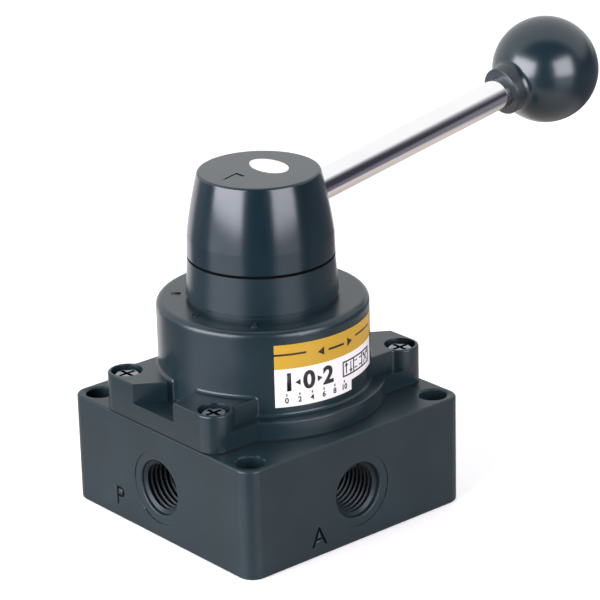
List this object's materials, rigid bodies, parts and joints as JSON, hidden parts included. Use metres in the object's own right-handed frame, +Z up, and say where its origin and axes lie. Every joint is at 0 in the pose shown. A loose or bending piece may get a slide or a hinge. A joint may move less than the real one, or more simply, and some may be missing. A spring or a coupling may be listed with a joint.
{
  "type": "hand lever air valve",
  "caption": "Rotary hand valve for compressed air: square ported body, cast bonnet, tapered hub and a slanted lever with a ball knob.",
  "frame": {"origin": "centre of the body's flat underside", "axes": "+Z up along the spindle; +X towards the lever in its middle position; the ports face +X, -X, +Y and -Y"},
  "size_m": [0.1396, 0.066, 0.1006],
  "materials": {
    "cast_paint": "satin dark slate paint on die-cast aluminium",
    "hub_paint": "satin dark slate paint, smoother than the body's",
    "seal_rubber": "matt black nitrile rubber",
    "lapped_steel": "lapped stainless steel",
    "pin_steel": "ground hardened steel",
    "zinc_steel": "bright zinc-plated steel",
    "spring_steel": "blued spring steel",
    "ball_steel": "polished bearing steel",
    "bronze": "sintered bronze",
    "brass": "turned brass",
    "slide_plastic": "low-friction plastic, matt",
    "disc_acetal": "white acetal, lapped underside",
    "spindle_steel": "turned steel",
    "chrome_plate": "mirror chrome plate",
    "knob_phenolic": "polished dark phenolic",
    "label_foil": "printed film, yellow band over white",
    "badge_white": "plain white enamel"
  },
  "bodies": {
    "housing": {"valve_body": "cast_paint", "port_seals": "seal_rubber", "body_seal": "seal_rubber", "seat_plate": "lapped_steel", "seat_dowels": "pin_steel", "bonnet": "cast_paint", "cover_screws": "zinc_steel", "lock_washers": "zinc_steel", "spindle_bush": "bronze", "thrust_washer": "slide_plastic", "stop_pin": "pin_steel", "name_label": "label_foil"},
    "rotor": {"rotor_disc": "disc_acetal", "drive_pin": "pin_steel", "disc_springs": "spring_steel", "spindle": "spindle_steel", "spindle_seals": "seal_rubber", "retaining_ring": "spring_steel", "hub": "hub_paint", "hub_badge": "badge_white", "detent_springs": "spring_steel", "lever_rod": "chrome_plate", "ball_knob": "knob_phenolic", "knob_insert": "brass"},
    "detents": {"detent_balls": "ball_steel"}
  },
  "joints": [
    {"name": "lever_turn", "type": "hinge", "parent": "housing", "child": "rotor", "pos_m": [0, 0, 0.0712], "axis": [0, 0, 1], "range_deg": [-45, 45]},
    {"name": "detent_lift", "type": "slide", "parent": "rotor", "child": "detents", "axis": [0, 0, -1], "range_m": [0, 0.0005], "stiffness_N_per_m": 1200, "springref_m": 0.003, "deforming": ["detent_springs"]}
  ]
}
